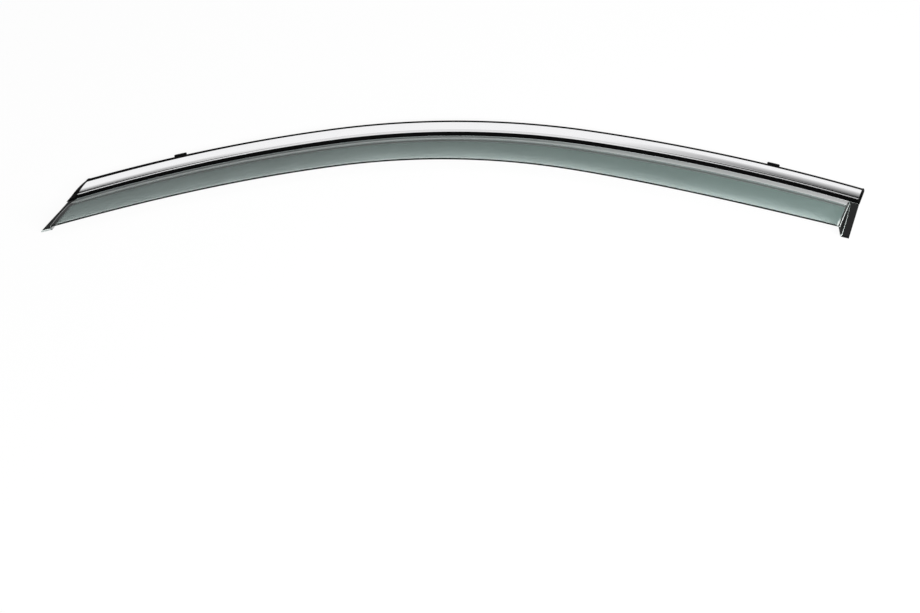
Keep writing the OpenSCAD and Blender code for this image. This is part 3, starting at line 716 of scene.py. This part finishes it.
def new_material(name):
    """A node material, its tree and its principled shader."""
    material = bpy.data.materials.new(name)
    material.use_nodes = True
    tree = material.node_tree
    return material, tree, tree.nodes["Principled BSDF"]


def feed(tree, made, inputs):
    """Links or sets inputs of a node."""
    for name, value in inputs.items():
        if isinstance(value, bpy.types.NodeSocket):
            tree.links.new(value, made.inputs[name])
        else:
            made.inputs[name].default_value = value


def node(tree, kind, inputs=None, **settings):
    """A shader node with its settings, and its inputs linked or set."""
    made = tree.nodes.new("ShaderNode" + kind)
    for name, value in settings.items():
        setattr(made, name, value)
    feed(tree, made, inputs or {})
    return made


def noise(tree, coordinates, scale, stretch=(1, 1, 1), detail=3.0, roughness=0.5):
    """Noise in the named coordinates, stretched by a scale for each axis."""
    place_at = node(tree, "TexCoord").outputs[coordinates]
    mapped = node(tree, "Mapping", {"Vector": place_at, "Scale": stretch}).outputs["Vector"]
    inputs = {"Vector": mapped, "Scale": scale, "Detail": detail, "Roughness": roughness}
    return node(tree, "TexNoise", inputs).outputs["Fac"]


def spread(tree, value, low, high, start=0.0, end=1.0):
    """A value's range from start to end, mapped to low and high."""
    inputs = {"Value": value, "From Min": start, "From Max": end, "To Min": low, "To Max": high}
    return node(tree, "MapRange", inputs).outputs["Result"]


def bump(tree, height, distance, strength=1.0, normal=None):
    """Bump from a height, in metres."""
    inputs = {"Height": height, "Distance": distance, "Strength": strength}
    if normal is not None:
        inputs["Normal"] = normal
    return node(tree, "Bump", inputs).outputs["Normal"]


def mix_colour(tree, factor, first, second):
    """A mix of two colours, each a link or three numbers."""
    made = node(tree, "Mix", data_type="RGBA")
    colours = [v if isinstance(v, bpy.types.NodeSocket) else (*v, 1) for v in (first, second)]
    feed(tree, made, {"Factor": factor, "A": colours[0], "B": colours[1]})
    return made.outputs["Result"]


def scaled(shade, factor):
    """A colour times a factor."""
    return [c * factor for c in shade]


def shades(tree, value, shade, low, high):
    """A colour that varies between two of its shades with a value."""
    return mix_colour(tree, value, scaled(shade, low), scaled(shade, high))


def sum_up(tree, operation, first, *others):
    """Values taken together by one kind of arithmetic."""
    for other in others:
        first = node(tree, "Math", {0: first, 1: other}, operation=operation).outputs[0]
    return first


def plus(tree, first, second):
    """The sum of two values."""
    return sum_up(tree, "ADD", first, second)


def times(tree, first, second):
    """The product of two values."""
    return sum_up(tree, "MULTIPLY", first, second)


def largest(tree, *values):
    """The largest of some values."""
    return sum_up(tree, "MAXIMUM", *values)


def window(tree, number, first, last, soft, top=1.0):
    """The top value between two ring or point numbers, falling to nothing over a border on both sides."""
    up = spread(tree, number, 0.0, top, (first - soft) / 1000, first / 1000)
    return times(tree, up, spread(tree, number, 1.0, 0.0, last / 1000, (last + soft) / 1000))


def patch(tree, ring, point, name):
    """The largest of the patches of a name."""
    return largest(tree, *[
        times(tree, window(tree, ring, *rings, strength), window(tree, point, *points))
        for rings, points, strength in PATCHES[name]
    ])


def mix_in(tree, share, shader, other):
    """Shows a share of another shader in place of the principled one."""
    mixed = node(tree, "MixShader", {"Fac": share, 1: shader.outputs["BSDF"], 2: other})
    feed(tree, tree.nodes["Material Output"], {"Surface": mixed.outputs["Shader"]})


def glow(tree, strength):
    """White light of some strength."""
    return node(tree, "Emission", {"Color": (1, 1, 1, 1), "Strength": strength}).outputs["Emission"]


# Places on the moulding by the numbers of its rings, or of the points in a ring: first, last and soft border
MAIN, FRONT_FOOT, REAR_FOOT = (30, 271, 3), (-1, 15, 2), (288, 303, 2)
FACE, ANYWHERE = (20, 72, 10), (-9, 400, 1)
# Patches of painted light and shade, each with its rings, its points and its strength. The shoulder's pale
# band is partly satin and partly a painted reflection. The rim and the pale patches are painted highlights
# and glints on edges. The dark line below the crest and the dark patches on the end walls are painted shade
# and dark reflections. On the feet the dark patches paint them black over the foam pads. The tip's patch
# makes the front foot's cut edge less clear, standing in for a lit face.
PATCHES = {
    "shoulder": [(MAIN, (5, 36, 2), 1.0)],
    "crease_shade": [(MAIN, (41, 42.8, 1.2), 1.0)],
    "rim": [(ANYWHERE, (68, 73, 1), 1.0)],
    "tip": [(FRONT_FOOT, (69, 82, 1), 1.0)],
    # Painted shade and dark reflections on the end walls and their corners, and the feet painted black
    "dark": [
        (FRONT_FOOT, (-9, 68, 1), 1.0),
        (FRONT_FOOT, (83, 400, 1), 1.0),
        (REAR_FOOT, ANYWHERE, 1.0),
        ((271.2, 275.3, 0.5), FACE, 1.0),
        ((280.3, 283.7, 0.4), FACE, 0.85),
        ((25.5, 30.6, 2.6), (38, 74, 5), 1.0),
    ],
    # Painted highlights and glints along the end walls' corners, at the shoulder's front end and along the
    # rear foot
    "pale": [
        ((276.7, 278.7, 0.7), FACE, 1.0),
        ((283.95, 286, 0.07), FACE, 1.0),
        ((21.5, 23.5, 0.7), FACE, 1.0),
        ((270.6, 270.9, 0.35), (65, 69, 6), 1.0),
        ((29.5, 31.2, 0.6), (9, 20, 4), 1.0),
        ((285, 299, 1), (7.5, 8.5, 0.7), 1.0),
    ],
}


def smoked_plastic(colours):
    """Tinted see-through polycarbonate: clear gloss, faint flow waves and fine scratches, with painted light
    and shade. This includes a pale band on the shoulder that is partly satin and partly a painted reflection,
    and a painted highlight along the rim. It also has painted highlights, glints, dark lines and shade at the
    ends, black painted on the feet, and a tint that is painted paler towards the rear.

    Shadow and diffuse rays pass straight through, so it lets light on to what is behind it.
    """
    material, tree, shader = new_material("smoked_polycarbonate")
    profile = node(tree, "UVMap", uv_map="Profile").outputs["UV"]
    numbers = node(tree, "SeparateXYZ", {"Vector": profile}).outputs
    ring = numbers["X"]
    # Masks of the painted light and shade, by ring and point numbers. The shoulder's painted band is a little
    # stronger towards the rear
    shoulder, crease_shade, rim, tip, dark, pale = (patch(tree, ring, numbers["Y"], name) for name in PATCHES)
    shoulder = times(tree, shoulder, spread(tree, ring, 0.9, 1.0, 0.15, 0.26))
    flow = noise(tree, "Object", 18.0, (1, 2.2, 1), 2.0)
    tint = colours.smoke
    # Tone varying at random with the flow waves, and painted light: the tint grows paler towards the rear
    # end, as if more light fell there
    to_rear = plus(tree, spread(tree, ring, 0.0, 0.85, 0.09, 0.26), times(tree, flow, 0.2))
    shade = shades(tree, to_rear, tint, 0.84, 2.0)
    # Painted light and shade laid over the tint. These are the shoulder's pale band (partly satin, partly a
    # painted reflection, stronger towards the rear), the painted dark line below the crest and the rim's
    # painted highlight. Then come the dark patches (painted shade on the end walls, black on the feet) and
    # the pale patches' painted highlights and glints
    layers = (
        (times(tree, shoulder, spread(tree, ring, 0.36, 0.97, 0.15, 0.27)), colours.satin),
        (times(tree, crease_shade, 0.92), scaled(tint, 0.05)),
        (times(tree, rim, 0.9), colours.rim),
        (spread(tree, dark, 0.0, 1.0, 0.0, 0.5), scaled(tint, 0.008)),
        (times(tree, pale, 0.9), colours.rim),
    )
    for share, over in layers:
        shade = mix_colour(tree, share, shade, over)
    # The plastic is made less clear where highlights are painted and at the front foot's tip. It is not clear
    # at all where shade, dark lines or the feet's black are painted, so that the painted colours show
    frosted_for_highlights = largest(tree, shoulder, times(tree, largest(tree, pale, tip), 0.9))
    opaque_for_painted_dark = largest(tree, dark, times(tree, crease_shade, 0.85))
    haze = spread(tree, noise(tree, "Object", 900.0, detail=2.0), 0.03, 0.07, 0.35, 0.65)
    scratch = noise(tree, "Object", 260.0, (0.06, 1, 1), 4.0, 0.7)
    feed(tree, shader, {
        "Base Color": shade,
        "Transmission Weight": times(tree, spread(tree, frosted_for_highlights, 1.0, 0.35), spread(tree, opaque_for_painted_dark, 1.0, 0.0)),
        "IOR": 1.58,
        "Specular Tint": (0.3, 0.3, 0.3, 1),
        "Roughness": plus(tree, haze, times(tree, shoulder, 0.15)),
        "Normal": bump(tree, scratch, 0.00002, 0.2, bump(tree, flow, 0.0003, 0.25)),
    })
    rays = node(tree, "LightPath").outputs
    clear = node(tree, "BsdfTransparent", {"Color": (*[c ** 0.9 for c in tint], 1)}).outputs["BSDF"]
    mix_in(tree, largest(tree, rays["Is Shadow Ray"], rays["Is Diffuse Ray"]), shader, clear)
    return material


def bright_steel(colours):
    """Polished stainless strip: mirror bright, with fine lengthwise polishing lines and faint smears."""
    material, tree, shader = new_material("bright_stainless")
    lines = noise(tree, "UV", 1.0, (9.0, 6000.0, 1), 3.0, 0.6)
    smears = noise(tree, "Object", 30.0, detail=4.0, roughness=0.6)
    rough = plus(tree, spread(tree, lines, 0.05, 0.13, 0.3, 0.7), spread(tree, smears, 0.0, 0.04, 0.45, 0.7))
    feed(tree, shader, {
        "Base Color": shades(tree, smears, colours.bright, 0.97, 1.0),
        "Metallic": 1.0,
        "Roughness": rough,
        "Normal": bump(tree, lines, 0.000004, 0.6),
    })
    return material


def satin_black(colours):
    """Black extrusion: satin, with drawn lines along it and a fine grain."""
    material, tree, shader = new_material("satin_black_extrusion")
    lines = noise(tree, "UV", 1.0, (14.0, 3200.0, 1), 2.0)
    grain = noise(tree, "Object", 5200.0, detail=2.0)
    feed(tree, shader, {
        "Base Color": shades(tree, grain, colours.black, 0.7, 1.4),
        "Roughness": spread(tree, lines, 0.4, 0.55, 0.3, 0.7),
        "Specular IOR Level": 0.03,
        "Normal": bump(tree, lines, 0.00001, 0.5, bump(tree, grain, 0.00001, 0.5)),
    })
    return material


def moulded_black(colours):
    """Black moulded caps: semi-gloss, with a fine spark-eroded grain."""
    material, tree, shader = new_material("moulded_black_caps")
    grain = noise(tree, "Object", 3600.0, roughness=0.6)
    cloud = noise(tree, "Object", 140.0, detail=2.0)
    feed(tree, shader, {
        "Base Color": shades(tree, cloud, colours.black, 0.8, 1.3),
        "Roughness": spread(tree, grain, 0.24, 0.36, 0.3, 0.7),
        "Specular IOR Level": 0.08,
        "Normal": bump(tree, grain, 0.00001, 0.5),
    })
    return material


def coated_steel(colours):
    """Black dip-coated spring steel: low gloss with an uneven skin."""
    material, tree, shader = new_material("coated_spring_steel")
    skin = noise(tree, "Object", 900.0, roughness=0.6)
    specks = noise(tree, "Object", 3000.0, detail=1.0)
    feed(tree, shader, {
        "Base Color": shades(tree, specks, colours.clip_black, 0.8, 1.8),
        "Roughness": spread(tree, skin, 0.32, 0.5, 0.3, 0.7),
        "Specular IOR Level": 0.6,
        "Normal": bump(tree, skin, 0.00003, 0.6),
    })
    return material


def closed_foam(colours):
    """Dark closed-cell foam: matt, with small cells."""
    material, tree, shader = new_material("closed_cell_foam")
    place_at = node(tree, "TexCoord").outputs["Object"]
    cells = node(tree, "TexVoronoi", {"Vector": place_at, "Scale": 2600.0}).outputs["Distance"]
    feed(tree, shader, {
        "Base Color": shades(tree, noise(tree, "Object", 400.0), colours.foam, 0.7, 1.35),
        "Roughness": 0.92,
        "Specular IOR Level": 0.25,
        "Normal": bump(tree, cells, 0.00008, 0.7),
    })
    return material


def pale_floor(colours):
    """Plain pale floor that is white to the camera and in reflections, and keeps the object's shadow."""
    material, tree, shader = new_material("pale_floor")
    feed(tree, shader, {"Base Color": (*colours.floor, 1), "Roughness": 0.9, "Specular IOR Level": 0.1})
    rays = node(tree, "LightPath").outputs
    mirrored = times(tree, rays["Is Glossy Ray"], spread(tree, rays["Is Transmission Ray"], 1.0, 0.0))
    seen = largest(tree, rays["Is Camera Ray"], mirrored)
    mix_in(tree, times(tree, seen, 0.93), shader, glow(tree, 1.0))
    return material


def card_material(name, strength_at):
    """White light whose strength is worked out from the place on a card, along and back."""
    material, tree, shader = new_material(name)
    tree.nodes.remove(shader)
    place_at = node(tree, "SeparateXYZ", {"Vector": node(tree, "TexCoord").outputs["Object"]}).outputs
    light = glow(tree, strength_at(tree, place_at["X"], place_at["Y"]))
    feed(tree, tree.nodes["Material Output"], {"Surface": light})
    return material


def graded(tree, along, back):
    """Strength of the card over the object: full far behind, dark above both ends, and half grey between."""
    front_end = spread(tree, along, 0.0, 1.0, -0.2, -0.37)
    rear_end = spread(tree, along, 0.0, 1.0, 0.15, 0.42)
    dark = spread(tree, plus(tree, front_end, rear_end), 0.25, 0.99)
    depth = plus(tree, times(tree, front_end, 0.25), times(tree, rear_end, 0.85))
    share = sum_up(tree, "DIVIDE", plus(tree, back, -0.15), plus(tree, depth, 0.3))
    return spread(tree, times(tree, dark, spread(tree, share, 1.0, 0.0)), 1.0, 0.0)


def bright_in_middle(tree, along, back):
    """Strength of the lower card in front: bright in its middle, and black towards both ends."""
    far = node(tree, "Math", {0: along}, operation="ABSOLUTE").outputs[0]
    return spread(tree, far, 0.75, 0.0, 0.1, 0.19)


# Operators


def groups(context):
    """The scene's property groups: edge, shield, trim, clip and colours."""
    return [getattr(context.scene, name) for name in GROUPS]


def clip_places(edge, clip):
    """Places of the front and the rear clip along the top edge."""
    return {"front": -edge.front_len + clip.front_from_end, "rear": edge.rear_len - clip.rear_from_end}


class DEFLECTOR_OT_shield(bpy.types.Operator):
    """Smoked moulding with its shoulder, rim, end walls and feet"""

    bl_idname = "deflector.shield"
    bl_label = "Shield moulding"

    def execute(self, context):
        edge, shield, trim, _, colours = groups(context)
        piece = loft_piece("smoked_shield", [shield_rings(edge, shield, trim)])
        fit_piece(piece, smoked_plastic(colours), "smoked_shield", "visor_shield")
        return {"FINISHED"}


class DEFLECTOR_OT_stakes(bpy.types.Operator):
    """Moulded stakes that hold the clips"""

    bl_idname = "deflector.stakes"
    bl_label = "Clip stakes"

    def execute(self, context):
        edge, shield, trim, clip, colours = groups(context)
        places = clip_places(edge, clip).values()
        lofts = [stake_rings(edge, shield, trim, clip, at, side) for at in places for side in (-1, 1)]
        piece = loft_piece("clip_stakes", lofts, "face", 50)
        fit_piece(piece, moulded_black(colours), "smoked_shield", "visor_shield")
        return {"FINISHED"}


class DEFLECTOR_OT_trim(bpy.types.Operator):
    """Bright strip and the black carrier under it"""

    bl_idname = "deflector.trim"
    bl_label = "Trim strip and carrier"

    def execute(self, context):
        edge, shield, trim, _, colours = groups(context)
        strip = loft_piece("bright_strip", [carried(edge, trim, strip_ring(shield, trim))])
        fit_piece(strip, bright_steel(colours), "bright_trim", "chrome_trim")
        carrier = loft_piece("black_carrier", [carried(edge, trim, carrier_ring(shield, trim))], "face")
        fit_piece(carrier, satin_black(colours), "black_carrier", "trim_carrier")
        return {"FINISHED"}


class DEFLECTOR_OT_caps(bpy.types.Operator):
    """Black caps on the two ends of the strip"""

    bl_idname = "deflector.caps"
    bl_label = "End caps"

    def execute(self, context):
        edge, shield, trim, _, colours = groups(context)
        material = moulded_black(colours)
        for name, is_front in (("front", True), ("rear", False)):
            piece = loft_piece(name + "_cap_cover", [cap_rings(edge, shield, trim, is_front)], "pairs", 50)
            fit_piece(piece, material, "black_cap", name + "_end_cap")
        return {"FINISHED"}


class DEFLECTOR_OT_clips(bpy.types.Operator):
    """Spring clips whose lips stand out from the top edge"""

    bl_idname = "deflector.clips"
    bl_label = "Clips"

    def execute(self, context):
        edge, shield, trim, clip, colours = groups(context)
        material = coated_steel(colours)
        for name, at in clip_places(edge, clip).items():
            piece = loft_piece(name + "_spring_clip", [clip_rings(edge, shield, trim, clip, at)], "pairs", 50)
            fit_piece(piece, material, "clip_steel", name + "_clip")
        return {"FINISHED"}


class DEFLECTOR_OT_foam(bpy.types.Operator):
    """Foam finish on the mounting tape and the foot pads"""

    bl_idname = "deflector.foam"
    bl_label = "Foam tape and pads"

    def execute(self, context):
        material = closed_foam(context.scene.deflector_colours)
        for name in ("front_tape", "middle_tape", "rear_tape", "front_foot_pad", "rear_foot_pad"):
            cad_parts[name].data.materials[0] = material
        return {"FINISHED"}


class DEFLECTOR_OT_stage(bpy.types.Operator):
    """Pale floor, soft lamps, even surroundings and the camera"""

    bl_idname = "deflector.stage"
    bl_label = "Stage, lamps and camera"

    def execute(self, context):
        scene = context.scene
        half = 6.0
        floor = sheet("pale_floor", pale_floor(scene.deflector_colours), -half, half, -half, half, 0)

        # White to the camera, dimmer overhead in reflections, and dim as a light
        world = bpy.data.worlds.new("even_surroundings")
        world.use_nodes = True
        tree = world.node_tree
        rays = node(tree, "LightPath").outputs
        parts = node(tree, "SeparateXYZ", {"Vector": node(tree, "TexCoord").outputs["Generated"]}).outputs
        flat = node(tree, "CombineXYZ", {"X": parts["X"], "Y": parts["Y"]}).outputs["Vector"]
        from_zenith = node(tree, "VectorMath", {0: flat}, operation="LENGTH").outputs["Value"]
        dome = spread(tree, from_zenith, 0.55, 1.0, 0.02, 0.3)
        level = 0.22
        for seen, strength in (("Is Glossy Ray", dome), ("Is Camera Ray", 1.0)):
            inputs = {"Factor": rays[seen], "A": level, "B": strength}
            level = node(tree, "Mix", inputs, data_type="FLOAT").outputs["Result"]
        feed(tree, tree.nodes["Background"], {"Color": (1, 1, 1, 1), "Strength": level})
        scene.world = world

        lamps = (
            ("front_softbox", (0.8, -2.1, 1.2), 2.6, 0.9, 95.0),
            ("key_softbox", (0.4, 0.3, 2.4), 1.6, 0.8, 14.0),
            ("side_softbox", (1.3, -1.0, 0.5), 0.6, 0.3, 20.0),
        )
        for name, position, width, height, power in lamps:
            data = bpy.data.lights.new(name, "AREA")
            data.shape, data.size, data.size_y, data.energy = "RECTANGLE", width, height, power
            lamp = bpy.data.objects.new(name, data)
            lamp.location = position
            lamp.rotation_mode = "QUATERNION"
            lamp.rotation_quaternion = (-Vector(position)).to_track_quat("-Z", "Y")
            lamp.visible_camera = lamp.visible_glossy = False
            scene.collection.objects.link(lamp)

        cards = (
            ("graded_card", graded, (-1.6, 1.6, -0.2, 1.8, 1.2)),
            ("low_card", bright_in_middle, (-0.9, 0.9, -0.55, -0.1, 0.5)),
        )
        for name, strength_at, box in cards:
            card = sheet(name, card_material(name, strength_at), *box, (3, 2, 1, 0))
            for rays_kind in ("camera", "diffuse", "transmission", "shadow", "volume_scatter"):
                setattr(card, "visible_" + rays_kind, False)

        data = bpy.data.cameras.new("photo_camera")
        data.sensor_width, data.lens = 36.0, 78.26
        data.clip_start, data.clip_end = 0.05, 50.0
        camera = bpy.data.objects.new("photo_camera", data)
        camera.location = (0.004383, -1.720736, 1.80556)
        camera.rotation_euler = (math.radians(40), 0, 0)
        scene.collection.objects.link(camera)
        scene.camera = camera
        scene.view_settings.view_transform = "Standard"
        return {"FINISHED"}


class DEFLECTOR_PT_panel(bpy.types.Panel):
    """Lists the deflector's pieces."""

    bl_idname = "DEFLECTOR_PT_panel"
    bl_label = "Window rain deflector"
    bl_space_type = "VIEW_3D"
    bl_region_type = "UI"
    bl_category = "Deflector"

    def draw(self, context):
        for operator in OPERATORS:
            self.layout.operator(operator.bl_idname)


GROUPS = {
    "deflector_edge": EdgeSizes,
    "deflector_shield": ShieldSizes,
    "deflector_trim": TrimSizes,
    "deflector_clip": ClipSizes,
    "deflector_colours": FinishColours,
}
OPERATORS = (
    DEFLECTOR_OT_shield,
    DEFLECTOR_OT_stakes,
    DEFLECTOR_OT_trim,
    DEFLECTOR_OT_caps,
    DEFLECTOR_OT_clips,
    DEFLECTOR_OT_foam,
    DEFLECTOR_OT_stage,
)


def register():
    """Registers the property groups, the operators and the panel."""
    for group in (*GROUPS.values(), *OPERATORS, DEFLECTOR_PT_panel):
        bpy.utils.register_class(group)
    for name, group in GROUPS.items():
        setattr(bpy.types.Scene, name, PointerProperty(type=group))


def unregister():
    """Takes them away again."""
    for name in GROUPS:
        delattr(bpy.types.Scene, name)
    for group in (DEFLECTOR_PT_panel, *reversed(OPERATORS), *reversed(GROUPS.values())):
        bpy.utils.unregister_class(group)


def main():
    """Builds every piece and the stage."""
    register()
    bpy.ops.deflector.shield()
    bpy.ops.deflector.stakes()
    bpy.ops.deflector.trim()
    bpy.ops.deflector.caps()
    bpy.ops.deflector.clips()
    bpy.ops.deflector.foam()
    bpy.ops.deflector.stage()
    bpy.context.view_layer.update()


if __name__ == "__main__":
    main()
